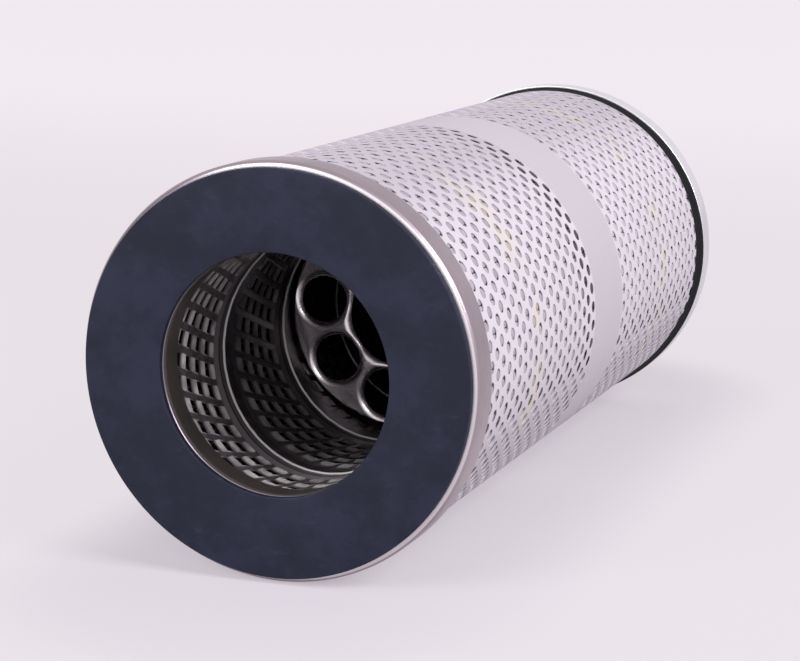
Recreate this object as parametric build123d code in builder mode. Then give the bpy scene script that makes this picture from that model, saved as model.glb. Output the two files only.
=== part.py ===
from build123d import *

import os
from math import cos, pi, radians, sin

# Pleated filter element: a spiral-wound core, a pleated pack and a perforated shroud between two pressed end caps.
# The element stands on its rear cap, with the open mouth and its gasket at the top. The axis is Z.

os.makedirs("parts", exist_ok=True)

# Overall sizes
overall_length = 346.0  # rear cap's underside to the gasket's face
cap_diameter = 150.0
mouth_diameter = 88.4  # bore of the front cap's collar

# Clearances
fit_gap = 0.3  # between sheet metal pieces that slide together
bond_gap = 0.1  # between a cast or glued ring and what it holds

# End caps
cap_sheet = 1.0
cap_corner = 1.2  # bevel of the pressed corners
front_skirt = 13.5
front_collar = 16.0
rear_skirt = 14.0
panel_depth = 5.0  # how far the rear cap's middle is pressed in

# Gasket
gasket_setback = 2.15  # from the cap's edge to the gasket's
gasket_overhang = 1.0  # how far the gasket's bore stands in over the mouth
gasket_thickness = 3.0

# Perforated shroud. A plain staggered grid of openings stands for the fine holes and leaves as much open.
shroud_sheet = 0.7
opening_corners = 26.0  # across an opening's corners
openings_round = 12
opening_columns = 4  # on each side of the plain band
band_distance = 153.0  # from the gasket's face to the plain band
band_width = 41.5
lap_width = 8.0
lap_angle = -20.0  # degrees from +X, where the sheet's edges overlap

# Spiral-wound core
core_sheet = 0.8
seam_lead = 56.5
seam_width = 5.5
seam_proud = 0.5  # how far the lock seam stands out on the inside
seam_depth = 27.4  # depth below the gasket's face at which the seam's middle crosses +X for the first time

# Pleated pack
pleat_count = 80
media_thickness = 0.9
fold_width = 2.4  # outer width of one fold's tip

# Potting and glue
potting_depth = 8.0
glue_thickness = 1.0
glue_width = 12.0
glue_distance = 77.0  # from each end of the element to the middle of a glue band
sealant_rise = 4.0  # how far the sealant climbs the shroud above the rear skirt's rim

# Baffle plate
baffle_distance = 123.0  # from the gasket's face to the plate's face
baffle_sheet = 1.5
baffle_flange = 9.0
baffle_corner = 1.5
baffle_hole = 39.4
ring_hole = 18.8
ring_circle = 63.6
ring_count = 8
ring_start = -9.0  # degrees from +X

# Levels
rear_plate_top = cap_sheet
front_plate_top = overall_length - gasket_thickness
front_plate_bottom = front_plate_top - cap_sheet
media_bottom = rear_plate_top + potting_depth
media_top = front_plate_bottom - potting_depth
panel_top = panel_depth + cap_sheet
tube_length = front_plate_bottom - rear_plate_top
baffle_top = overall_length - baffle_distance

# Radii, from the outside to the axis
cap_radius = cap_diameter / 2
skirt_inside = cap_radius - cap_sheet
lap_radius = skirt_inside - fit_gap
shroud_radius = lap_radius - shroud_sheet
shroud_inside = shroud_radius - shroud_sheet
pleat_radius = shroud_inside - glue_thickness - 2 * bond_gap
mouth_radius = mouth_diameter / 2
core_inside = mouth_radius + cap_sheet + fit_gap
core_outside = core_inside + core_sheet
valley_radius = core_outside + fit_gap
baffle_radius = core_inside - seam_proud - fit_gap


def polar(radius, angle):
    """Point at a radius and an angle in radians."""
    return (radius * cos(angle), radius * sin(angle))


# Front end cap: skirt, flat face and collar, pressed from one sheet
with BuildPart() as front_end_cap:
    with BuildSketch(Plane.XZ) as front_profile:
        with BuildLine():
            Polyline(
                (cap_radius, front_plate_top - front_skirt),
                (cap_radius, front_plate_top),
                (mouth_radius, front_plate_top),
                (mouth_radius, front_plate_top - front_collar),
            )
            offset(amount=cap_sheet, side=Side.LEFT, kind=Kind.INTERSECTION)
        make_face()
        chamfer(front_profile.vertices().group_by(Axis.Y)[-1], cap_corner)
    revolve(axis=Axis.Z)

# Rear end cap: a shallow cup whose middle is pressed in to centre the core
with BuildPart() as rear_end_cap:
    with BuildSketch(Plane.XZ) as rear_profile:
        with BuildLine():
            Polyline(
                (cap_radius, rear_skirt),
                (cap_radius, 0),
                (mouth_radius, 0),
                (mouth_radius, panel_depth),
                (0, panel_depth),
            )
            offset(amount=cap_sheet, side=Side.RIGHT, kind=Kind.INTERSECTION)
        make_face()
        chamfer(rear_profile.vertices().group_by(Axis.Y)[0].sort_by(Axis.X)[-1], cap_corner)
    revolve(axis=Axis.Z)

# Gasket: a flat rubber ring on the front cap
with BuildPart() as front_gasket:
    with BuildSketch(Plane.XY.offset(front_plate_top)):
        Circle(cap_radius - gasket_setback)
        Circle(mouth_radius - gasket_overhang, mode=Mode.SUBTRACT)
    extrude(amount=gasket_thickness)

# Outer shroud: a rolled sheet whose edges overlap along one straight seam
lap_half = lap_width / shroud_radius / 2
band_top = overall_length - band_distance
band_bottom = band_top - band_width
front_span = front_plate_top - front_skirt - band_top
rear_span = band_bottom - rear_skirt - sealant_rise
opening_planes = []
for column in range(2 * opening_columns):
    if column < opening_columns:
        height = rear_skirt + sealant_rise + rear_span * (column + 0.5) / opening_columns
    else:
        height = band_top + front_span * (column - opening_columns + 0.5) / opening_columns
    for place in range(openings_round):
        angle = radians(lap_angle) + 2 * pi * (place + 0.5 * (column % 2)) / openings_round
        outward = Vector(cos(angle), sin(angle), 0)
        centre = outward * lap_radius + Vector(0, 0, height)
        opening_planes.append(Plane(centre, x_dir=(0, 0, 1), z_dir=outward))
with BuildPart() as outer_shroud:
    with BuildSketch(Plane.XY.offset(rear_plate_top)):
        Circle(shroud_radius)
        Circle(shroud_inside, mode=Mode.SUBTRACT)
    extrude(amount=tube_length)
    with BuildSketch(Plane.XY.offset(rear_plate_top)):
        with BuildLine():
            start = radians(lap_angle) - lap_half
            middle = radians(lap_angle)
            end = radians(lap_angle) + lap_half
            seat = shroud_radius - shroud_sheet / 2
            ThreePointArc(polar(lap_radius, start), polar(lap_radius, middle), polar(lap_radius, end))
            Line(polar(lap_radius, end), polar(seat, end))
            ThreePointArc(polar(seat, end), polar(seat, middle), polar(seat, start))
            Line(polar(seat, start), polar(lap_radius, start))
        make_face()
    extrude(amount=tube_length)
    with BuildSketch(*opening_planes):
        RegularPolygon(opening_corners / 2, 6)
    extrude(amount=-opening_corners / 4, mode=Mode.SUBTRACT)

# Inner core: a strip wound into a tube, with a spiral lock seam that stands out on the inside
seam_start = panel_top + seam_width
seam_rise = front_plate_top - front_collar - seam_width - seam_start
seam_turn = (seam_start - (overall_length - seam_depth)) / seam_lead * 360
seam_height = seam_proud + core_sheet / 2
seam_radius = core_inside + core_sheet / 2 - seam_height / 2
with BuildPart() as inner_core:
    with BuildSketch(Plane.XY.offset(rear_plate_top)):
        Circle(core_outside)
        Circle(core_inside, mode=Mode.SUBTRACT)
    extrude(amount=tube_length)
    seam_path = Helix(seam_lead, seam_rise, seam_radius).rotate(Axis.Z, seam_turn)
    seam_path = seam_path.translate((0, 0, seam_start))
    seam_side = (cos(radians(seam_turn)), sin(radians(seam_turn)), 0)
    with BuildSketch(Plane(origin=seam_path @ 0, x_dir=seam_side, z_dir=seam_path % 0)):
        Rectangle(seam_height, seam_width)
    sweep(path=seam_path, is_frenet=True)

# Pleated pack: one sheet folded to and fro between core and shroud
fold_half = fold_width / 2
fold_inner = fold_half - media_thickness
outer_outline = []
inner_outline = []
for pleat in range(pleat_count):
    tip = 2 * pi * pleat / pleat_count
    valley = tip + pi / pleat_count
    valley_back = valley_radius + media_thickness
    tip_back = pleat_radius - media_thickness
    outer_outline.append(polar(pleat_radius, tip - fold_half / pleat_radius))
    outer_outline.append(polar(pleat_radius, tip + fold_half / pleat_radius))
    outer_outline.append(polar(valley_back, valley - fold_inner / valley_back))
    outer_outline.append(polar(valley_back, valley + fold_inner / valley_back))
    inner_outline.append(polar(tip_back, tip - fold_inner / tip_back))
    inner_outline.append(polar(tip_back, tip + fold_inner / tip_back))
    inner_outline.append(polar(valley_radius, valley - fold_half / valley_radius))
    inner_outline.append(polar(valley_radius, valley + fold_half / valley_radius))
with BuildPart() as pleated_media:
    with BuildSketch(Plane.XY.offset(media_bottom)):
        with BuildLine():
            Polyline(*outer_outline, close=True)
        make_face()
        with BuildLine():
            Polyline(*inner_outline, close=True)
        make_face(mode=Mode.SUBTRACT)
    extrude(amount=media_top - media_bottom)


def ring(outer, inner, bottom, height):
    """Plain ring about the axis."""
    with BuildPart() as made:
        with BuildSketch(Plane.XY.offset(bottom)):
            Circle(outer)
            Circle(inner, mode=Mode.SUBTRACT)
        extrude(amount=height)
    return made


# Potting: adhesive rings that seal the pack's ends in the caps
potting_outside = shroud_inside - bond_gap
potting_inside = core_outside + bond_gap
rear_potting = ring(potting_outside, potting_inside, rear_plate_top, potting_depth)
front_potting = ring(potting_outside, potting_inside, media_top, potting_depth)

# Glue bands: hot melt round the pleat tips
glue_outside = shroud_inside - bond_gap
glue_inside = pleat_radius + bond_gap
rear_glue_band = ring(glue_outside, glue_inside, glue_distance - glue_width / 2, glue_width)
front_glue_band = ring(
    glue_outside, glue_inside, overall_length - glue_distance - glue_width / 2, glue_width
)

# Rear sealant: fills the gap between shroud and skirt, and climbs the shroud a little
with BuildPart() as rear_sealant:
    with BuildSketch(Plane.XZ):
        with BuildLine():
            Polyline(
                (shroud_radius + bond_gap, rear_skirt / 2),
                (skirt_inside - bond_gap, rear_skirt / 2),
                (skirt_inside - bond_gap, rear_skirt),
                (shroud_radius + 2 * bond_gap, rear_skirt + sealant_rise),
                (shroud_radius + bond_gap, rear_skirt + sealant_rise),
                close=True,
            )
        make_face()
    revolve(axis=Axis.Z)
    with BuildSketch(Plane.XY.offset(rear_skirt / 2)):
        with BuildLine():
            notch_half = lap_half + bond_gap / shroud_radius  # the lap passes through here
            Polyline(
                (0, 0),
                polar(2 * cap_radius, radians(lap_angle) - notch_half),
                polar(2 * cap_radius, radians(lap_angle) + notch_half),
                close=True,
            )
        make_face()
    extrude(amount=rear_skirt / 2 + sealant_rise, mode=Mode.SUBTRACT)

# Baffle plate: a pressed cup across the core
ring_places = PolarLocations(ring_circle / 2, ring_count, start_angle=ring_start)
with BuildPart() as baffle_plate:
    with BuildSketch(Plane.XZ) as baffle_profile:
        with BuildLine():
            Polyline(
                (0, baffle_top),
                (baffle_radius, baffle_top),
                (baffle_radius, baffle_top - baffle_flange),
            )
            offset(amount=baffle_sheet, side=Side.RIGHT, kind=Kind.INTERSECTION)
        make_face()
        chamfer(baffle_profile.vertices().group_by(Axis.Y)[-1].sort_by(Axis.X)[-1], baffle_corner)
    revolve(axis=Axis.Z)
    with BuildSketch(Plane.XY.offset(baffle_top)):
        Circle(baffle_hole / 2)
        with ring_places:
            Circle(ring_hole / 2)
    extrude(amount=-baffle_sheet, mode=Mode.SUBTRACT)

pieces = {
    "front_gasket": front_gasket,
    "front_end_cap": front_end_cap,
    "front_potting": front_potting,
    "front_glue_band": front_glue_band,
    "outer_shroud": outer_shroud,
    "pleated_media": pleated_media,
    "inner_core": inner_core,
    "baffle_plate": baffle_plate,
    "rear_glue_band": rear_glue_band,
    "rear_potting": rear_potting,
    "rear_sealant": rear_sealant,
    "rear_end_cap": rear_end_cap,
}
for name, piece in pieces.items():
    piece.part.label = name
    export_step(piece.part, f"parts/{name}.step")
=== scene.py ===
from math import atan2, cos, hypot, pi, radians, sin, sqrt, tan
import bmesh
import bpy
import numpy as np
from mathutils import Matrix, Vector
from mathutils.geometry import delaunay_2d_cdt


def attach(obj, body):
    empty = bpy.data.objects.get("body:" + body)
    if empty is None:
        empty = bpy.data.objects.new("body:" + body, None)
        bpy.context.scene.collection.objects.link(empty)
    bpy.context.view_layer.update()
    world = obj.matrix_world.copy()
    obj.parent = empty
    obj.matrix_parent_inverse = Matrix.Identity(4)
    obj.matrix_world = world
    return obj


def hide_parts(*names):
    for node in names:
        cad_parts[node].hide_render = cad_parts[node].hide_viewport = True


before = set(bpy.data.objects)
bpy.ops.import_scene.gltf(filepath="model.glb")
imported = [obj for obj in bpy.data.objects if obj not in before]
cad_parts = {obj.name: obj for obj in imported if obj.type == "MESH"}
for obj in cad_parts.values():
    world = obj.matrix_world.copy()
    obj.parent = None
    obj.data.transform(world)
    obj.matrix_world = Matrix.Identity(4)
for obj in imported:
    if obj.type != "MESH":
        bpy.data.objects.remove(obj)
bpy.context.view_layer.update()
mm = 0.001

# Sizes in millimetres, on the axis and levels of the CAD pieces
top = 346.0
plate_top = 343.0  # the front cap's flat face, on which the gasket lies
tube_top, tube_bottom = 342.0, 1.0  # ends of the shroud and the core, inside the caps
cap_radius, mouth_radius, cap_sheet, cap_bend = 75.0, 44.2, 1.0, 2.0
front_skirt_end, rear_skirt_end = 329.5, 12.6
panel_level = 5.0  # how far the rear cap's middle is pressed in
cut_edge = 0.3  # rounding of a cut sheet edge
shroud_radius, shroud_sheet = 73.0, 0.3
holes_round, hole_radius = 62, 2.34
column_pitch = 6.385
front_columns, rear_columns = 21, 21
first_depth, rear_depth = 23.3, 197.4  # depth of each zone's first column below the gasket's face
lap_angle, lap_width, lap_run = -20.0, 8.0, 14.0
core_radius, core_sheet = 45.5, 0.3
seam_lead, seam_depth, seam_half = 56.5, 27.4, 2.75
louvre_pitch, louvre_row, louvre_rows, louvre_slant = 10.1, 8.0, 4, 3.5
strip_length = 60.0  # down the core's strip, as its texture map counts it
ramp_start, groove_start, groove_end, edge_start = 47.1, 51.2, 52.6, 54.9  # parts of the lock seam, down the strip
baffle_top, baffle_radius, baffle_sheet, baffle_flange = 223.0, 44.6, 1.2, 9.0
lip, lip_drop, rim_bend = 3.4, 1.5, 1.2
ring_circle, ring_hole, centre_hole, ring_start, ring_count = 31.8, 9.4, 19.7, -9.0, 8
folds, tip_radius, valley_radius, tip_half, valley_half, tip_crown = 80, 72.62, 46.7, 2.72, 0.85, 0.55
media_bottom, media_height = 9.0, 325.0
glue_levels = (269.5, 79.5)  # where the pleats are glued to the shroud


# ---------------------------------------------------------------- node trees
class Wire:
    """An output of a node. Arithmetic on it adds Math nodes to its tree."""

    def __init__(self, tree, node, output):
        self.tree, self.node = tree, node
        self.socket = node.outputs[output] if len(node.outputs) else None

    def out(self, output):
        return Wire(self.tree, self.node, output)

    def maths(self, operation, *values):
        return self.tree.add("ShaderNodeMath", {"operation": operation}, dict(enumerate(values)))

    def __add__(self, other):
        return self.maths("ADD", self, other)

    def __sub__(self, other):
        return self.maths("SUBTRACT", self, other)

    def __rsub__(self, other):
        return self.maths("SUBTRACT", other, self)

    def __mul__(self, other):
        return self.maths("MULTIPLY", self, other)

    def __truediv__(self, other):
        return self.maths("DIVIDE", self, other)

    __radd__, __rmul__ = __add__, __mul__


class Tree:
    """A node tree that is written as expressions."""

    def __init__(self, tree):
        self.tree = tree

    def add(self, kind, settings=None, sockets=None, output=0):
        """A node of that kind, its settings first, then the values or wires of its sockets."""
        node = self.tree.nodes.new(kind)
        for name, value in (settings or {}).items():
            setattr(node, name, value)
        for key, value in (sockets or {}).items():
            self.put(node.inputs[key], value)
        return Wire(self, node, output)

    def put(self, socket, value):
        """Gives a socket its value, its wire, or its list of wires."""
        if isinstance(value, list):
            for wire in value:
                self.tree.links.new(wire.socket, socket)
        elif isinstance(value, Wire):
            self.tree.links.new(value.socket, socket)
        else:
            socket.default_value = value

    def xyz(self, x=0.0, y=0.0, z=0.0):
        return self.add("ShaderNodeCombineXYZ", None, {0: x, 1: y, 2: z})

    def parts(self, vector):
        split = self.add("ShaderNodeSeparateXYZ", None, {0: vector})
        return split, split.out(1), split.out(2)

    def smooth(self, value, low, high, to_low=0.0, to_high=1.0):
        """Smooth step of a value from one range to another."""
        return self.add("ShaderNodeMapRange", {"interpolation_type": "SMOOTHSTEP"},
                        {0: value, 1: low, 2: high, 3: to_low, 4: to_high})

    def mix(self, factor, one, two):
        """Colour between one and two."""
        return self.add("ShaderNodeMix", {"data_type": "RGBA"}, {0: factor, 6: one, 7: two}, 2)

    def noise(self, vector, scale, detail=3.0, roughness=0.55):
        return self.add("ShaderNodeTexNoise", None,
                        {"Vector": vector, "Scale": scale, "Detail": detail, "Roughness": roughness})

    def scaled(self, vector, factors):
        return self.add("ShaderNodeVectorMath", {"operation": "MULTIPLY"}, {0: vector, 1: factors})

    def bump(self, height, strength, distance):
        """Normal of a relief whose distance is in metres."""
        return self.add("ShaderNodeBump", None, {"Strength": strength, "Distance": distance, "Height": height})


def finish_of(name, draw):
    """A material whose varying inputs come from draw(tree, object coordinates), which returns its shader's sockets."""
    material = bpy.data.materials.new(name)
    material.use_nodes = True
    material.node_tree.nodes.clear()
    tree = Tree(material.node_tree)
    place = tree.add("ShaderNodeTexCoord", None, None, "Object")
    shader = tree.add("ShaderNodeBsdfPrincipled", None, draw(tree, place))
    tree.add("ShaderNodeOutputMaterial", None, {"Surface": shader})
    return material


def colour(red, green, blue):
    """Linear colour from the usual 0 to 255 values."""
    shares = [level / 255 for level in (red, green, blue)]
    return (*(s / 12.92 if s <= 0.04045 else ((s + 0.055) / 1.055) ** 2.4 for s in shares), 1.0)


def round_place(tree, place):
    """Angle round the axis in radians, then radius and height in metres."""
    x, y, z = tree.parts(place)
    angle = x.maths("ARCTAN2", y, x)
    radius = x.maths("SQRT", x * x + y * y)
    return angle, radius, z


def rubber(tree, place):
    """Moulded black-blue rubber with pale talc blotches and a few scuffs."""
    blotch = tree.smooth(tree.noise(place, 42.0, 5.0, 0.62), 0.38, 0.68)
    fine = tree.noise(place, 900.0, 2.0)
    scuff = tree.smooth(tree.noise(tree.scaled(place, (1.0, 2.6, 1.0)), 95.0, 6.0, 0.72), 0.57, 0.74)
    base = tree.mix(blotch, colour(23, 25, 42), colour(34, 37, 57))
    base = tree.mix(scuff * 0.4, base, colour(58, 62, 84))
    height = fine * 0.35 + tree.noise(place, 130.0, 4.0) * 0.65
    return {"Base Color": base, "Roughness": 0.62 - blotch * 0.1 + scuff * 0.1, "Specular IOR Level": 0.25,
            "Normal": tree.bump(height, 0.25, 0.0004)}


def rolled_steel(base, dull, streaks, roughness, strength):
    """Sheet steel with rolling streaks round the axis and dull patches of handling."""

    def draw(tree, place):
        angle, radius, z = round_place(tree, place)
        grain = tree.noise(tree.xyz(angle * 0.02, radius * 3.0, z * 3.0), streaks, 4.0, 0.6)
        patch = tree.smooth(tree.noise(place, 24.0, 4.0, 0.6), 0.35, 0.7)
        mixed = tree.mix(patch * 0.5, base, dull)
        shade = tree.mix(tree.smooth(grain, 0.3, 0.7), mixed, tree.mix(0.5, mixed, base))
        return {"Base Color": shade, "Metallic": 1.0, "Roughness": roughness + patch * 0.08 + grain * 0.1,
                "Normal": tree.bump(grain, strength, 0.0002)}

    return draw


def pressed_steel(base, dull):
    """Tinned sheet with handling marks, a painted highlight on the ring beside the gasket, bright at one side, and
    painted shade inside the mouth.
    """

    def draw(tree, place):
        angle, radius, z = round_place(tree, place)
        grain = tree.noise(tree.xyz(angle * 0.02, radius * 3.0, z * 3.0), 160.0, 4.0, 0.6)
        patch = tree.smooth(tree.noise(place, 24.0, 4.0, 0.6), 0.35, 0.7)
        shade = tree.mix(patch * 0.6, base, dull)
        x = tree.parts(place)[0]
        # Painted highlight: the ring at the bend beside the gasket is painted bright on one side and dark on the other,
        # standing in for a reflection of the lamps.
        ring = tree.mix(tree.smooth(x, -0.04, 0.005), colour(112, 104, 110), colour(206, 201, 205))
        shade = tree.mix(tree.smooth(z, (plate_top - 0.5) * mm, (plate_top - 0.3) * mm), shade, ring)
        # Painted shade: the inside of the mouth is painted darker, standing in for the dark interior that it reflects.
        mouth = tree.smooth(radius, 46.0 * mm, 45.5 * mm)
        mouth = mouth * tree.smooth(z, (plate_top - 2.2) * mm, (plate_top - 5.0) * mm)
        shade = tree.mix(mouth, shade, tree.mix(patch, colour(122, 114, 108), colour(98, 92, 88)))
        return {"Base Color": shade, "Metallic": 0.8, "Roughness": 0.27 + patch * 0.08 + grain * 0.08,
                "Normal": tree.bump(grain, 0.1, 0.0002)}

    return draw


def perforated_steel(tree, place):
    """Matt bright sheet with painted shade away from one side and a painted darker plain band, with a faint yellow film
    over the glue beneath it.
    """
    angle, radius, z = round_place(tree, place)
    grain = tree.noise(tree.xyz(angle * 0.02, radius * 3.0, z * 3.0), 120.0, 4.0, 0.6)
    cloud = tree.smooth(tree.noise(place, 24.0, 4.0, 0.6), 0.35, 0.7)
    shade = tree.mix(cloud * 0.5, colour(221, 212, 224), colour(208, 200, 211))
    x, y = tree.parts(place)[:2]
    # Painted shade: the sheet is painted darker round the tube away from one side, standing in for the fall of the
    # light.
    shade = tree.mix(tree.smooth(x * 0.94 + y * 0.34, 0.071, 0.05) * 0.85, shade, colour(185, 176, 188))
    shade = tree.mix(glue_patches(tree, angle, z) * 0.3, shade, colour(222, 208, 178))
    # Painted reflection: the plain band between the zones is painted darker, standing in for its duller reflection.
    plain_band = tree.smooth(z, 0.1505, 0.1525) * tree.smooth(z, 0.193, 0.191)
    shade = tree.mix(plain_band, shade, colour(199, 190, 201))
    edge = tree.smooth(radius, (shroud_radius - 0.06) * mm, (shroud_radius - 0.2) * mm)
    shade = tree.mix(edge, shade, colour(212, 204, 216))
    return {"Base Color": shade, "Metallic": (1.0 - edge) * 0.12, "Roughness": 0.42 + cloud * 0.08 + grain * 0.1,
            "Normal": tree.bump(grain, 0.1, 0.0002)}


def glue_patches(tree, angle, z):
    """Share of glue: patches in two rings, where the pleats are glued to the shroud."""
    share = 0.0
    for middle in glue_levels:
        away = z - middle * mm
        share = tree.smooth(away.maths("ABSOLUTE", away), 0.013, 0.004) + share
    return share * tree.smooth(tree.noise(tree.xyz(angle * 0.075, 0.0, z), 42.0, 3.0), 0.42, 0.6) * 0.8


def louvred_steel(tree, place):
    """Sheet steel with painted light: its louvres and the ramp up to the seam are painted bright as highlights, with a
    painted highlight along the seam's edge, and painted shade on the flats below the seam, in its groove, deeper down
    the tube and by the baffle. Its strip map tells how far below the seam's edge a place is.
    """
    angle, radius, z = round_place(tree, place)
    drop = tree.parts(tree.add("ShaderNodeUVMap", {"uv_map": "strip"}))[1] * strip_length
    grain = tree.noise(tree.xyz(angle * 0.02, radius * 3.0, z * 3.0), 150.0, 4.0, 0.6)
    cloud = tree.smooth(tree.noise(place, 260.0, 3.0), 0.35, 0.65)
    shade = tree.mix(cloud, colour(118, 110, 115), colour(146, 138, 142))
    # Painted highlight: the ramp up to the seam is painted bright, and the seam's flat beyond the groove grey.
    shade = tree.mix(tree.smooth(drop, ramp_start - 0.1, ramp_start + 1.9), shade, colour(206, 198, 203))
    shade = tree.mix(tree.smooth(drop, groove_end - 0.4, groove_end), shade, colour(150, 143, 147))
    # Painted shade: the flats just below the seam's edge are painted dark.
    shade = tree.mix(tree.smooth(drop, 8.5, 6.5), shade, colour(84, 76, 82))
    # Painted highlight: the raised louvres are painted bright, mottled by noise.
    proud = tree.smooth(radius, (core_radius - 0.05) * mm, (core_radius - 0.45) * mm)
    proud = proud * tree.smooth(drop, ramp_start - 0.1, ramp_start - 0.6)
    highlight_mottle = tree.smooth(tree.noise(place, 95.0, 2.0), 0.38, 0.62)
    shade = tree.mix(proud, shade, tree.mix(highlight_mottle, colour(176, 170, 173), colour(242, 238, 240)))
    # Painted shade: the seam's groove is painted as a dark line.
    groove = tree.smooth(drop, groove_start - 0.05, groove_start + 0.15)
    groove = groove * tree.smooth(drop, groove_end - 0.1, groove_end - 0.3)
    shade = tree.mix(groove, shade, colour(40, 36, 40))
    # Painted shade: the wall is painted darker deeper down the tube.
    shade = tree.mix(tree.smooth(z, 0.306, 0.272, 0.0, 0.8), shade, colour(44, 40, 44))
    # Painted shade: the wall by the baffle is painted nearly black.
    shade = tree.mix(tree.smooth(z, 0.237, 0.229, 0.0, 0.88), shade, colour(34, 26, 28))
    # Painted highlight: a thin bright line along the seam's deep edge.
    edge = tree.smooth(drop, edge_start, edge_start + 0.3)
    return {"Base Color": tree.mix(edge, shade, colour(252, 248, 250)),
            "Metallic": (0.75 - proud * 0.42) * (1.0 - edge * 0.7), "Roughness": 0.36 - proud * 0.14,
            "Normal": tree.bump(grain, 0.1, 0.0002)}


def plain(base, other, roughness, scale=60.0, specular=0.4):
    """A cast or glued stuff with soft mottling."""

    def draw(tree, place):
        cloud = tree.noise(place, scale, 4.0)
        return {"Base Color": tree.mix(tree.smooth(cloud, 0.35, 0.65), base, other), "Roughness": roughness,
                "Specular IOR Level": specular, "Normal": tree.bump(cloud, 0.3, 0.0004)}

    return draw


def melt(tree, place):
    """Hot melt that has spread unevenly, so that it is yellow in patches and thin over the media between them."""
    angle, radius, z = round_place(tree, place)
    patch = tree.smooth(tree.noise(tree.xyz(angle * 0.075, 0.0, z), 55.0, 3.0), 0.42, 0.56)
    return {"Base Color": tree.mix(patch, colour(150, 144, 150), colour(214, 200, 158)), "Roughness": 0.45}


def medium(tree, place):
    """Pale folded medium with painted shade: dark towards its inner folds and in a ring by the plain band, with yellow
    glue patches.
    """
    angle, radius, z = round_place(tree, place)
    cloud = tree.smooth(tree.noise(place, 140.0, 4.0), 0.35, 0.65)
    base = tree.mix(cloud, colour(184, 175, 187), colour(166, 158, 170))
    base = tree.mix(tree.smooth(z, 0.16, 0.14), base, colour(196, 187, 199))
    base = tree.mix(glue_patches(tree, angle, z), base, colour(193, 182, 162))
    # Painted shade: a dark ring in the medium by the plain band.
    base = tree.mix(tree.smooth(z, 0.211, 0.202) * tree.smooth(z, 0.185, 0.19), base, colour(84, 76, 90))
    # Painted shade: the medium is painted dark towards its inner folds.
    base = tree.mix(tree.smooth(radius, 0.069, 0.060), base, colour(38, 36, 42))
    return {"Base Color": base, "Roughness": 0.8, "Specular IOR Level": 0.2}


rubber_finish = finish_of("gasket_rubber", rubber)
front_cap_finish = finish_of("tinned_steel", pressed_steel(colour(164, 150, 157), colour(143, 131, 137)))
rear_cap_finish = finish_of("bright_tinned_steel", pressed_steel(colour(228, 227, 231), colour(214, 213, 218)))
shroud_finish = finish_of("shroud_sheet_steel", perforated_steel)
core_finish = finish_of("core_sheet_steel", louvred_steel)
baffle_finish = finish_of("bright_pressed_steel",
                          rolled_steel(colour(226, 220, 223), colour(196, 190, 192), 60.0, 0.15, 0.04))
media_finish = finish_of("pleat_medium", medium)
potting_finish = finish_of("potting_compound", plain(colour(44, 44, 46), colour(56, 55, 58), 0.5))
sealant_finish = finish_of("black_sealant", plain(colour(12, 12, 15), colour(18, 17, 21), 0.7, 90.0, 0.15))
melt_finish = finish_of("hot_melt", melt)


# ---------------------------------------------------------------- meshes
def piece(name, points, faces, material, slot, *nodes):
    """A finished piece from points in millimetres, in the place of these CAD nodes."""
    mesh = bpy.data.meshes.new(name)
    mesh.from_pydata([tuple(c * mm for c in p) for p in points], [], faces)
    return dress(bpy.data.objects.new(name, mesh), material, slot, *nodes)


def dress(body, material, slot, *nodes, sharp=35.0):
    """Gives a piece its finish, shading and CAD nodes; its slot is not used."""
    mesh = body.data
    if body.name not in bpy.context.scene.collection.objects:
        bpy.context.scene.collection.objects.link(body)
    mesh.materials.clear()
    mesh.materials.append(material)
    mesh.polygons.foreach_set("material_index", [0] * len(mesh.polygons))
    mesh.shade_smooth()
    mesh.set_sharp_from_angle(angle=radians(sharp))
    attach(body, "root")
    if nodes:
        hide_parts(*nodes)
    return body


def rounded(corners, steps=6):
    """Closed profile from (radius, height, rounding) corners, each rounding drawn as an arc."""
    outline = []
    count = len(corners)
    for i, (r, z, size) in enumerate(corners):
        if size == 0:
            outline.append((r, z))
            continue
        here = Vector((r, z))
        back = (Vector(corners[i - 1][:2]) - here).normalized()
        ahead = (Vector(corners[(i + 1) % count][:2]) - here).normalized()
        half = back.angle(ahead) / 2
        centre = here + (back + ahead).normalized() * size / sin(half)
        start = here + back * size / tan(half) - centre
        end = here + ahead * size / tan(half) - centre
        turn = start.angle(end)
        for k in range(steps + 1):
            s = k / steps
            outline.append(tuple(centre + (start * sin((1 - s) * turn) + end * sin(s * turn)) / sin(turn)))
    return outline


def turned(name, corners, material, slot, *nodes, around=192):
    """A ring turned about the axis from its closed profile, which runs anticlockwise in radius and height."""
    outline = rounded(corners)
    points, faces = [], []
    for k in range(around):
        a = 2 * pi * k / around
        points += [(r * cos(a), r * sin(a), z) for r, z in outline]
    n = len(outline)
    for k in range(around):
        for i in range(n):
            j, m = (i + 1) % n, (k + 1) % around
            faces.append((k * n + i, m * n + i, m * n + j, k * n + j))
    return piece(name, points, faces, material, slot, *nodes)


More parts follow.
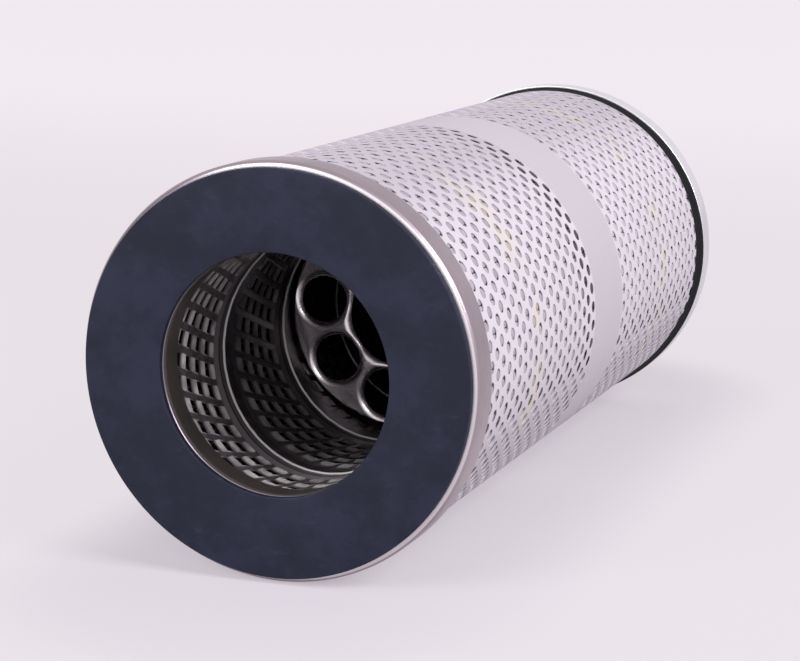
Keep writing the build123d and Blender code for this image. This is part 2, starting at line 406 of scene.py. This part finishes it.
def grown(name, draw, sizes, material):
    """The plain mesh object of a Geometry Nodes tree, drawn by draw(tree, inputs) with these named sizes."""
    group = bpy.data.node_groups.new(name, "GeometryNodeTree")
    group.interface.new_socket("Geometry", in_out="OUTPUT", socket_type="NodeSocketGeometry")
    identifiers = {}
    for key, value in sizes.items():
        kind = "NodeSocketInt" if isinstance(value, int) else "NodeSocketFloat"
        identifiers[key] = group.interface.new_socket(key, in_out="INPUT", socket_type=kind).identifier
    tree = Tree(group)
    source = group.nodes.new("NodeGroupInput")
    inputs = {key: Wire(tree, source, i) for i, key in enumerate(sizes)}
    made = draw(tree, inputs)
    made = tree.add("GeometryNodeRealizeInstances", None, {0: made})
    made = tree.add("GeometryNodeSetMaterial", None, {"Geometry": made, "Material": material})
    tree.add("NodeGroupOutput", None, {0: made})
    body = bpy.data.objects.new(name, bpy.data.meshes.new(name))
    bpy.context.scene.collection.objects.link(body)
    modifier = body.modifiers.new(name, "NODES")
    modifier.node_group = group
    for key, value in sizes.items():
        modifier[identifiers[key]] = value
    settled(body)
    return body


def settled(body):
    """Turns a body and its modifiers into one plain mesh."""
    made = bpy.data.meshes.new_from_object(body.evaluated_get(bpy.context.evaluated_depsgraph_get()))
    body.modifiers.clear()
    body.data = made


def points_of(body):
    """A body's points in metres, one in each row."""
    flat = np.zeros(len(body.data.vertices) * 3)
    body.data.vertices.foreach_get("co", flat)
    return flat.reshape(-1, 3)


def move_points(body, places):
    """Moves a body's points to these places in metres."""
    body.data.vertices.foreach_set("co", np.asarray(places, float).ravel())
    body.data.update()


def trimmed(body, *planes):
    """Welds a body's doubles and cuts it off beyond each plane, given as point and outward direction."""
    work = bmesh.new()
    work.from_mesh(body.data)
    bmesh.ops.remove_doubles(work, verts=work.verts, dist=0.02 * mm)
    for point, outward in planes:
        everything = [*work.verts, *work.edges, *work.faces]
        bmesh.ops.bisect_plane(work, geom=everything, plane_co=point, plane_no=outward, clear_outer=True, dist=1e-7)
    work.to_mesh(body.data)
    work.free()


def thickened(body, sheet):
    """Gives an open sheet its thickness, away from the side that its faces show."""
    wall = body.modifiers.new("sheet", "SOLIDIFY")
    wall.thickness, wall.offset, wall.use_even_offset = sheet * mm, -1.0, False
    settled(body)


# ---------------------------------------------------------------- gasket and caps
inner_bend = cap_bend - cap_sheet
skirt_inside = cap_radius - cap_sheet
bead_radius = mouth_radius - 0.75  # the mouth's rounded bead shows inside the gasket
turned("gasket",
       [(72.85, plate_top, cut_edge), (72.85, top, 0.45), (43.3, top, 0.6), (43.6, plate_top, cut_edge)],
       rubber_finish, "gasket_rubber", "front_gasket")
turned("front_cap",
       [(cap_radius, front_skirt_end, cut_edge), (cap_radius, plate_top, cap_bend), (bead_radius, plate_top, 1.1),
        (bead_radius, plate_top - 2.4, 0.6), (mouth_radius, plate_top - 3.8, 0.8),
        (mouth_radius, front_skirt_end, cut_edge), (mouth_radius + cap_sheet, front_skirt_end, cut_edge),
        (mouth_radius + cap_sheet, plate_top - cap_sheet, inner_bend),
        (skirt_inside, plate_top - cap_sheet, inner_bend), (skirt_inside, front_skirt_end, cut_edge)],
       front_cap_finish, "cap_steel", "front_end_cap")
turned("rear_cap",
       [(cap_radius, 0, cap_bend), (cap_radius, rear_skirt_end, cut_edge), (skirt_inside, rear_skirt_end, cut_edge),
        (skirt_inside, cap_sheet, inner_bend), (mouth_radius - cap_sheet, cap_sheet, inner_bend),
        (mouth_radius - cap_sheet, panel_level + cap_sheet, cap_bend), (0.01, panel_level + cap_sheet, 0),
        (0.01, panel_level, 0), (mouth_radius, panel_level, inner_bend), (mouth_radius, 0, cap_bend)],
       rear_cap_finish, "cap_steel", "rear_end_cap")
bead = turned("sealant_bead",
              [(73.05, 10.0, 0), (73.9, 10.0, 0), (73.95, rear_skirt_end, 0), (74.98, 12.65, 0.1), (74.9, 14.4, 0.8),
               (73.9, 16.6, 1.2), (73.1, 19.5, 0.1)], sealant_finish, "sealant", "rear_sealant")


def run_thin(body):
    """Lets the poured bead run thin towards one side, in height and in how far it stands off the shroud."""
    spots = points_of(body) / mm
    angle = np.arctan2(spots[:, 1], spots[:, 0])
    away = np.hypot(spots[:, 0], spots[:, 1])
    thick = np.maximum(0.4, 1 - 0.85 * np.sin((angle + radians(25)) / 2) ** 2)
    proud = spots[:, 2] > rear_skirt_end + 0.01
    away = np.where(proud, shroud_radius + (away - shroud_radius) * thick, away)
    along = np.where(proud, rear_skirt_end + (spots[:, 2] - rear_skirt_end) * (0.4 + 0.8 * thick), spots[:, 2])
    move_points(body, np.stack([away * np.cos(angle), away * np.sin(angle), along], 1) * mm)


run_thin(bead)

# ---------------------------------------------------------------- perforated shroud
hole_pitch = 2 * pi * shroud_radius / holes_round
cells_round = holes_round + 3


def perforated_sheet(tree, size):
    """A flat sheet of staggered round holes, in two zones with plain metal before, between and after them."""
    outline = tree.add("GeometryNodeCurvePrimitiveQuadrilateral", None,
                       {0: size["hole pitch"], 1: size["column pitch"]})
    outline = tree.add("GeometryNodeSubdivideCurve", None, {0: outline, 1: 1})
    hole = tree.add("GeometryNodeCurvePrimitiveCircle", None, {"Resolution": 12, "Radius": size["hole radius"]})
    cell = tree.add("GeometryNodeJoinGeometry", None, {0: [outline, hole]})
    cell = tree.add("GeometryNodeFillCurve", None, {0: cell})
    made = []
    length = size["hole pitch"] * size["cells"]
    for zone in ("front", "rear"):
        first, columns = size[zone + " first"], size[zone + " columns"]
        run = size["column pitch"] * (columns - 1.0)
        grid = tree.add("GeometryNodeMeshGrid", None,
                        {0: length - size["hole pitch"], 1: run, 2: size["cells"], 3: columns})
        x, y, z = tree.parts(tree.add("GeometryNodeInputPosition"))
        column = x.maths("ROUND", y / size["column pitch"] + (columns - 1.0) * 0.5)
        shift = column.maths("MODULO", column, 2.0) * size["hole pitch"] * 0.5
        place = tree.xyz(x + length * 0.5 - size["hole pitch"] + shift, first - run * 0.5 + y, 0.0)
        grid = tree.add("GeometryNodeSetPosition", None, {"Geometry": grid, "Position": place})
        made.append(tree.add("GeometryNodeInstanceOnPoints", None, {"Points": grid, "Instance": cell}))
    half = size["column pitch"] * 0.5
    front_end = size["front first"] - size["column pitch"] * (size["front columns"] - 0.5)
    rear_end = size["rear first"] - size["column pitch"] * (size["rear columns"] - 0.5)
    for high, low in ((size["sheet top"], size["front first"] + half), (front_end, size["rear first"] + half),
                      (rear_end, size["sheet bottom"])):
        strip = tree.add("GeometryNodeMeshGrid", None, {0: length, 1: high - low, 2: size["cells"] * 2 + 1, 3: 2})
        strip = tree.add("GeometryNodeTransform", None, {
            "Geometry": strip, "Translation": tree.xyz(length * 0.5 - size["hole pitch"], (high + low) * 0.5, 0.0)})
        made.append(strip)
    return tree.add("GeometryNodeJoinGeometry", None, {0: made})


def roll_up(sheet):
    """Rolls the flat sheet into a tube. Its first edge is lifted by the sheet's thickness and overlaps the last."""
    flat = points_of(sheet)
    along = flat[:, 0] / mm
    lift = np.clip((lap_width + lap_run - along) / lap_run, 0, 1)
    lift = lift * lift * (3 - 2 * lift) * (shroud_sheet + 0.02)
    angle = radians(lap_angle) + (along - lap_width / 2) / shroud_radius
    radius = (shroud_radius + lift) * mm
    move_points(sheet, np.stack([radius * np.cos(angle), radius * np.sin(angle), flat[:, 1]], 1))


shroud = grown("shroud", perforated_sheet, {
    "hole pitch": hole_pitch * mm, "column pitch": column_pitch * mm, "hole radius": hole_radius * mm,
    "cells": cells_round, "front first": (top - first_depth) * mm, "front columns": front_columns,
    "rear first": (top - rear_depth) * mm, "rear columns": rear_columns,
    "sheet top": tube_top * mm, "sheet bottom": tube_bottom * mm}, shroud_finish)
girth = 2 * pi * shroud_radius
trimmed(shroud, ((0, 0, 0), (-1, 0, 0)), (((girth + lap_width) * mm, 0, 0), (1, 0, 0)))
roll_up(shroud)
thickened(shroud, shroud_sheet)
dress(shroud, shroud_finish, "shroud_steel", "outer_shroud")


# ---------------------------------------------------------------- spiral core
def wound_tube(tree, size):
    """A tube wound from a strip: one column of louvres repeated along the strip, which climbs a lead in each turn."""
    column = tree.add("GeometryNodeObjectInfo", None, {"Object": column_of_louvres}, "Geometry")
    line = tree.add("GeometryNodeMeshLine", None, {"Count": size["columns"], "Offset": tree.xyz(size["pitch"])})
    line = tree.add("GeometryNodeInstanceOnPoints", None, {"Points": line, "Instance": column})
    strip = tree.add("GeometryNodeRealizeInstances", None, {0: line})
    strip = tree.add("GeometryNodeMergeByDistance", None, {"Geometry": strip, "Distance": 0.01 * mm})
    x, y, z = tree.parts(tree.add("GeometryNodeInputPosition"))
    turned_by = size["start"] + x / size["radius"]
    angle = turned_by - y * size["slant"]
    radius = size["radius"] - z
    height = size["level"] + angle * size["lead"] / (2 * pi) + y
    place = tree.xyz(radius * angle.maths("COSINE", angle), radius * angle.maths("SINE", angle), height)
    return tree.add("GeometryNodeSetPosition", None, {"Geometry": strip, "Position": place})


def drawn_column():
    """One column of louvres on the flat strip, from the seam's edge of one turn down to that of the next."""
    tongue_half, tongue_edge, scoop_run, scoop_rise, slit = 2.6, 0.3, 3.2, 0.8, 4.8
    first_lip, first_run_in = 14.3, 1.4
    down = [(-1.0, -0.04), (0.3, -0.04), (1.5, 0.0), (6.0, 0.0)]  # distance down, height off the sheet
    lips = set()
    for k in range(louvre_rows + 1):
        middle = first_lip + louvre_row * k
        run_in = scoop_run + (0.0 if k else first_run_in)
        down += [(middle - run_in, 0.0), (middle, 0.0), (middle + (slit if k < louvre_rows else 0.5), 0.0)]
        lips.add(len(down) - 2)
    down += [(ramp_start, 0.0), (48.9, 0.22), (50.5, 0.52), (groove_start, 0.6), (51.5, 0.3), (52.3, 0.3),
             (groove_end, 0.5), (edge_start, 0.5), (55.4, 0.85), (55.9, 1.05), (56.3, 0.95), (56.5, 0.6),
             (56.5, -0.02), (57.0, -0.06)]
    across = [-arc_pitch / 2, -tongue_half - tongue_edge, -tongue_half]
    across += [-x for x in across[::-1]]
    points, faces = [], []
    for j, (drop, height) in enumerate(down):
        rise = scoop_rise if j in lips else 0.0
        points += [(x * mm, -drop * mm, (height + (rise if i in (2, 3) else 0.0)) * mm) for i, x in enumerate(across)]
    wide = len(across)
    for j in range(len(down) - 1):
        for i in range(wide - 1):
            if not (i == 2 and j in lips):  # the slit behind a lip is open
                here, below = j * wide + i, (j + 1) * wide + i
                faces.append((here, here + 1, below + 1, below))
    column = bpy.data.objects.new("column", bpy.data.meshes.new("column"))
    column.data.from_pydata(points, [], faces)
    strip_map = column.data.uv_layers.new(name="strip")
    for loop in column.data.loops:
        x, y, z = column.data.vertices[loop.vertex_index].co
        strip_map.data[loop.index].uv = (x / (arc_pitch * mm) + 0.5, -y / (strip_length * mm))
    return column


arc_pitch = radians(louvre_pitch) * core_radius
column_of_louvres = drawn_column()
columns_wound, columns_before = 256, 182  # those before lie on the turns below the first column's angle
core = grown("core", wound_tube, {
    "columns": columns_wound, "pitch": arc_pitch * mm,
    "start": radians(-180.2 - louvre_pitch * columns_before), "radius": core_radius * mm,
    "slant": radians(louvre_slant) / (louvre_row * mm), "lead": seam_lead * mm,
    "level": (top - seam_depth - seam_half) * mm}, core_finish)
bpy.data.objects.remove(column_of_louvres)
trimmed(core, ((0, 0, tube_top * mm), (0, 0, 1)), ((0, 0, tube_bottom * mm), (0, 0, -1)))
thickened(core, core_sheet)
dress(core, core_finish, "core_steel", "inner_core")

# ---------------------------------------------------------------- baffle plate
hole_rings = [(0.0, 0.0, centre_hole)]
for k in range(ring_count):
    a = radians(ring_start + 360 / ring_count * k)
    hole_rings.append((ring_circle * cos(a), ring_circle * sin(a), ring_hole))
ring_points, centre_points = 72, 150  # points round the edge of a hole
flat_radius = baffle_radius - rim_bend


def rim_distance(x, y, without=None):
    """Distance of a place on the plate from the nearest hole's edge, less than zero inside a hole."""
    return min(hypot(x - hx, y - hy) - hr for k, (hx, hy, hr) in enumerate(hole_rings) if k != without)


def flat_plate():
    """The plate's flat points and triangles, with a second circle of points round each hole."""
    spots, loops = [], []
    for k, (hx, hy, hr) in enumerate(hole_rings):
        around = ring_points if k else centre_points
        first = len(spots)
        spots += [(hx + hr * cos(2 * pi * i / around), hy + hr * sin(2 * pi * i / around)) for i in range(around)]
        loops += [(first + i, first + (i + 1) % around) for i in range(around)]
    outer_start = len(spots)
    outer_count = 240
    spots += [(flat_radius * cos(2 * pi * i / outer_count), flat_radius * sin(2 * pi * i / outer_count))
              for i in range(outer_count)]
    loops += [(outer_start + i, outer_start + (i + 1) % outer_count) for i in range(outer_count)]
    for k, (hx, hy, hr) in enumerate(hole_rings):
        around = ring_points if k else centre_points
        for i in range(around):
            x, y = hx + (hr + 0.55) * cos(2 * pi * i / around), hy + (hr + 0.55) * sin(2 * pi * i / around)
            if rim_distance(x, y, k) > 0.4 and hypot(x, y) < flat_radius - 0.3:
                spots.append((x, y))
    grain_pitch = 0.75
    for j in range(-66, 67):
        for i in range(-60, 61):
            x, y = (i + j % 2 / 2) * grain_pitch, j * grain_pitch * sqrt(3) / 2
            if rim_distance(x, y) > 0.95 and hypot(x, y) < flat_radius - 0.4:
                spots.append((x, y))
    made = delaunay_2d_cdt([Vector(s) for s in spots], loops, [], 0, 1e-6)
    return made[0], made[2]


def dished(x, y):
    """Level of the plate near its holes, which are drawn down in smooth lips with saddles between them."""
    total = 0.0
    for hx, hy, hr in hole_rings:
        away = hypot(x - hx, y - hy) - hr
        if away < lip:
            total += lip_drop * (1 - away / lip) ** 2.4
    return baffle_top - total


def drawn_plate():
    """The plate with its lips, and the flange that turns down from its rim."""
    plane_points, plane_faces = flat_plate()
    points = [(p.x, p.y, dished(p.x, p.y)) for p in plane_points]
    faces = []
    for f in plane_faces:
        x, y = sum(plane_points[i].x for i in f) / 3, sum(plane_points[i].y for i in f) / 3
        if rim_distance(x, y) > 0 and hypot(x, y) < flat_radius:
            faces.append(tuple(f))
    rim = sorted((i for i, p in enumerate(plane_points) if abs(p.length - flat_radius) < 1e-3),
                 key=lambda i: atan2(plane_points[i].y, plane_points[i].x))
    profile = [(flat_radius + rim_bend * sin(radians(b)), baffle_top - rim_bend * (1 - cos(radians(b))))
               for b in (15, 30, 45, 60, 75, 90)]
    profile += [(baffle_radius, baffle_top - 6.0), (baffle_radius, baffle_top - baffle_flange)]
    for r, z in profile:
        ring = []
        for i in rim:
            a = atan2(points[i][1], points[i][0])
            ring.append(len(points))
            points.append((r * cos(a), r * sin(a), z))
        n = len(rim)
        for i in range(n):
            j = (i + 1) % n
            faces.append((rim[i], ring[i], ring[j], rim[j]))
        rim = ring
    plate = bpy.data.objects.new("baffle", bpy.data.meshes.new("baffle"))
    plate.data.from_pydata([tuple(c * mm for c in p) for p in points], [], faces)
    bpy.context.scene.collection.objects.link(plate)
    return plate


def smooth_lips(shell):
    """Gives the plate's upper side the normals of dished(), so that its lips shine without facets."""
    normals = [Vector()] * len(shell.loops)
    for face in shell.polygons:
        if face.normal.z > 0.3 and face.center.xy.length < (flat_radius - 0.2) * mm:
            for i in face.loop_indices:
                x, y = (shell.vertices[shell.loops[i].vertex_index].co / mm).xy
                if hypot(x, y) < flat_radius - 0.2:
                    slope_x = dished(x - 0.05, y) - dished(x + 0.05, y)
                    slope_y = dished(x, y - 0.05) - dished(x, y + 0.05)
                    normals[i] = Vector((slope_x, slope_y, 0.1)).normalized()
    shell.normals_split_custom_set(normals)


baffle = drawn_plate()
trimmed(baffle)
thickened(baffle, baffle_sheet)
dress(baffle, baffle_finish, "baffle_steel", "baffle_plate", sharp=50.0)
smooth_lips(baffle.data)


# ---------------------------------------------------------------- pleats
def pleats(tree, size):
    """One sheet folded to and fro round the core: a drawn fold repeated about the axis and drawn out along it."""
    fold = tree.add("GeometryNodeObjectInfo", None, {"Object": one_fold}, "Geometry")
    turns = tree.add("GeometryNodeMeshLine", None, {"Count": size["folds"], "Offset": tree.xyz()})
    number = tree.add("GeometryNodeInputIndex")
    turn = tree.xyz(0.0, 0.0, number * (2 * pi) / size["folds"])
    ring = tree.add("GeometryNodeInstanceOnPoints", None, {"Points": turns, "Instance": fold, "Rotation": turn})
    ring = tree.add("GeometryNodeRealizeInstances", None, {0: ring})
    ring = tree.add("GeometryNodeMergeByDistance", None, {"Geometry": ring, "Distance": 0.02 * mm})
    wall = tree.add("GeometryNodeExtrudeMesh", {"mode": "EDGES"},
                    {"Mesh": ring, "Offset": tree.xyz(0.0, 0.0, size["height"]), "Offset Scale": 1.0})
    place = tree.xyz(0.0, 0.0, size["bottom"])
    return tree.add("GeometryNodeTransform", None, {"Geometry": wall, "Translation": place})


def drawn_fold():
    """Half of a valley's arc, half of a tip's, and their mirror image: one fold seen along the axis."""
    half_step = pi / folds
    fold_points = []
    for k in range(7):
        a = pi / 2 * k / 6
        angle = half_step - valley_half * sin(a) / valley_radius
        fold_points.append((valley_radius + valley_half * (1 - cos(a)), angle))
    for k in range(7):
        a = pi / 2 * (1 - k / 6)
        crown = tip_radius - tip_crown * (1 - cos(a))
        fold_points.append((crown, tip_half * sin(a) / tip_radius))
    fold_points += [(r, -a) for r, a in fold_points[-2::-1]]
    fold = bpy.data.objects.new("fold", bpy.data.meshes.new("fold"))
    fold.data.from_pydata([(r * cos(a) * mm, r * sin(a) * mm, 0.0) for r, a in fold_points],
                          [(i, i + 1) for i in range(len(fold_points) - 1)], [])
    return fold


one_fold = drawn_fold()
media = grown("media", pleats, {"folds": folds, "bottom": media_bottom * mm, "height": media_height * mm}, media_finish)
bpy.data.objects.remove(one_fold)
dress(media, media_finish, "media", "pleated_media")

# ---------------------------------------------------------------- cast and glued rings, as the CAD has them
for node, material in (("front_potting", potting_finish), ("rear_potting", potting_finish),
                       ("front_glue_band", melt_finish), ("rear_glue_band", melt_finish)):
    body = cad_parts[node]
    body.data.materials.clear()
    body.data.materials.append(material)


# ---------------------------------------------------------------- floor, light and camera
def paper_floor():
    """Pale paper, shown plainly to the camera and in metal, with a painted shadow where the element lies on it and
    painted paler far off. Seen from behind it is clear, and it throws no light up at the element."""
    finish = bpy.data.materials.new("floor")
    finish.use_nodes = True
    finish.node_tree.nodes.clear()
    tree = Tree(finish.node_tree)
    x, y, z = tree.parts(tree.add("ShaderNodeTexCoord", None, None, "Object"))
    beyond = (z - top * mm).maths("MAXIMUM", z - top * mm, 0.0 - z)
    beyond = beyond.maths("MAXIMUM", beyond, 0.0)
    apart = x.maths("SQRT", x * x + beyond * beyond)  # distance from the line on which the element lies
    open_floor = tree.smooth(apart, 0.055, 0.115)
    # Painted light: the paper is painted paler far off, and darker near the line on which the element lies, a painted
    # shadow.
    paper = tree.mix(tree.smooth(z, -1.6, -0.2), colour(246, 240, 246), colour(233, 226, 233))
    paper = tree.mix(open_floor, colour(213, 206, 214), paper)
    ray = tree.add("ShaderNodeLightPath")
    from_camera, from_metal = ray.out("Is Camera Ray"), ray.out("Is Glossy Ray") + ray.out("Is Transmission Ray")
    matt = tree.add("ShaderNodeBsdfDiffuse", None, {"Color": colour(238, 232, 238)})
    lit = tree.add("ShaderNodeEmission", None, {"Color": paper, "Strength": 1.0})
    share = from_camera * tree.smooth(apart, 0.055, 0.115, 0.63, 0.92) + from_metal * 0.35
    face = tree.add("ShaderNodeMixShader", None, {0: share, 1: matt, 2: lit})
    seen = from_camera + from_metal
    behind = tree.add("ShaderNodeNewGeometry", None, None, "Backfacing")
    hidden = behind.maths("MAXIMUM", behind, 1.0 - seen)
    clear = tree.add("ShaderNodeBsdfTransparent")
    surface = tree.add("ShaderNodeMixShader", None, {0: hidden, 1: face, 2: clear})
    tree.add("ShaderNodeOutputMaterial", None, {"Surface": surface})
    return finish


floor_plane = bpy.data.objects.new("floor", bpy.data.meshes.new("floor"))
floor_level = -cap_radius * mm
floor_plane.data.from_pydata([(-9, floor_level, -12), (-9, floor_level, 3), (9, floor_level, 3), (9, floor_level, -12)],
                             [], [(0, 1, 2, 3)])
bpy.context.scene.collection.objects.link(floor_plane)
floor_plane.data.materials.append(paper_floor())

# The fit to the photograph, whose x, y and z run to the camera's right, down and forward
fit_unit = 72.86 * mm
fit_mouth = (-0.6106, 0.2197, 11.03)  # middle of the gasket's face
fit_axis = Vector((0.35, -0.1748, 0.9203)).normalized()  # from the mouth to the rear cap
fit_focus, fit_width, sensor_width = 2314.0, 800.0, 36.0
up_line = -fit_axis.cross(Vector((1, 0, 0))).normalized()
right_line = fit_axis.cross(up_line).normalized()


def to_cad(v):
    """A direction of the photograph's camera (right, down, forward) in the part's frame."""
    v = Vector(v)
    return Vector((v.dot(right_line), v.dot(up_line), -v.dot(fit_axis)))


eye = Vector((0, 0, top * mm)) - to_cad(fit_mouth) * fit_unit
right_way, up_way, back_way = to_cad((1, 0, 0)), to_cad((0, -1, 0)), to_cad((0, 0, -1))
camera = bpy.data.objects.new("camera", bpy.data.cameras.new("camera"))
bpy.context.scene.collection.objects.link(camera)
turn = Matrix((right_way, up_way, back_way)).transposed().to_4x4()
camera.matrix_world = Matrix.Translation(eye) @ turn
camera.data.sensor_width = sensor_width
camera.data.lens = fit_focus / fit_width * sensor_width
camera.data.clip_start, camera.data.clip_end = 0.01, 50.0
bpy.context.scene.camera = camera


def softbox(name, place, size, power):
    """A square soft light at a place given along the camera's right, up and back directions from the object."""
    lamp = bpy.data.lights.new(name, "AREA")
    lamp.shape, lamp.size, lamp.energy = "SQUARE", size, power
    body = bpy.data.objects.new(name, lamp)
    bpy.context.scene.collection.objects.link(body)
    middle = Vector((0, 0, 0.2))
    body.location = middle + right_way * place[0] + up_way * place[1] + back_way * place[2]
    body.rotation_euler = (body.location - middle).to_track_quat("Z", "Y").to_euler()


softbox("top", (0.9, 1.5, 0.7), 1.6, 2.0)
softbox("front_left", (-1.5, 0.8, 1.4), 1.0, 22.0)
softbox("front_right", (1.4, 0.95, 1.35), 1.0, 36.0)
softbox("front", (0.1, 0.35, 2.0), 0.5, 7.0)

world = bpy.data.worlds.new("studio")
bpy.context.scene.world = world
world.use_nodes = True
world.node_tree.nodes.clear()
sky = Tree(world.node_tree)
sky_ray = sky.add("ShaderNodeLightPath")
shown = sky_ray.out("Is Camera Ray") + sky_ray.out("Is Glossy Ray") + sky_ray.out("Is Transmission Ray")
fill = sky.add("ShaderNodeBackground", None, {"Color": (0.93, 0.91, 0.93, 1.0), "Strength": 0.4})
backdrop = sky.add("ShaderNodeBackground", None, {"Color": colour(238, 232, 238), "Strength": 1.0})
mixed_sky = sky.add("ShaderNodeMixShader", None, {0: shown, 1: fill, 2: backdrop})
sky.add("ShaderNodeOutputWorld", None, {"Surface": mixed_sky})
bpy.context.scene.view_settings.view_transform = "Standard"
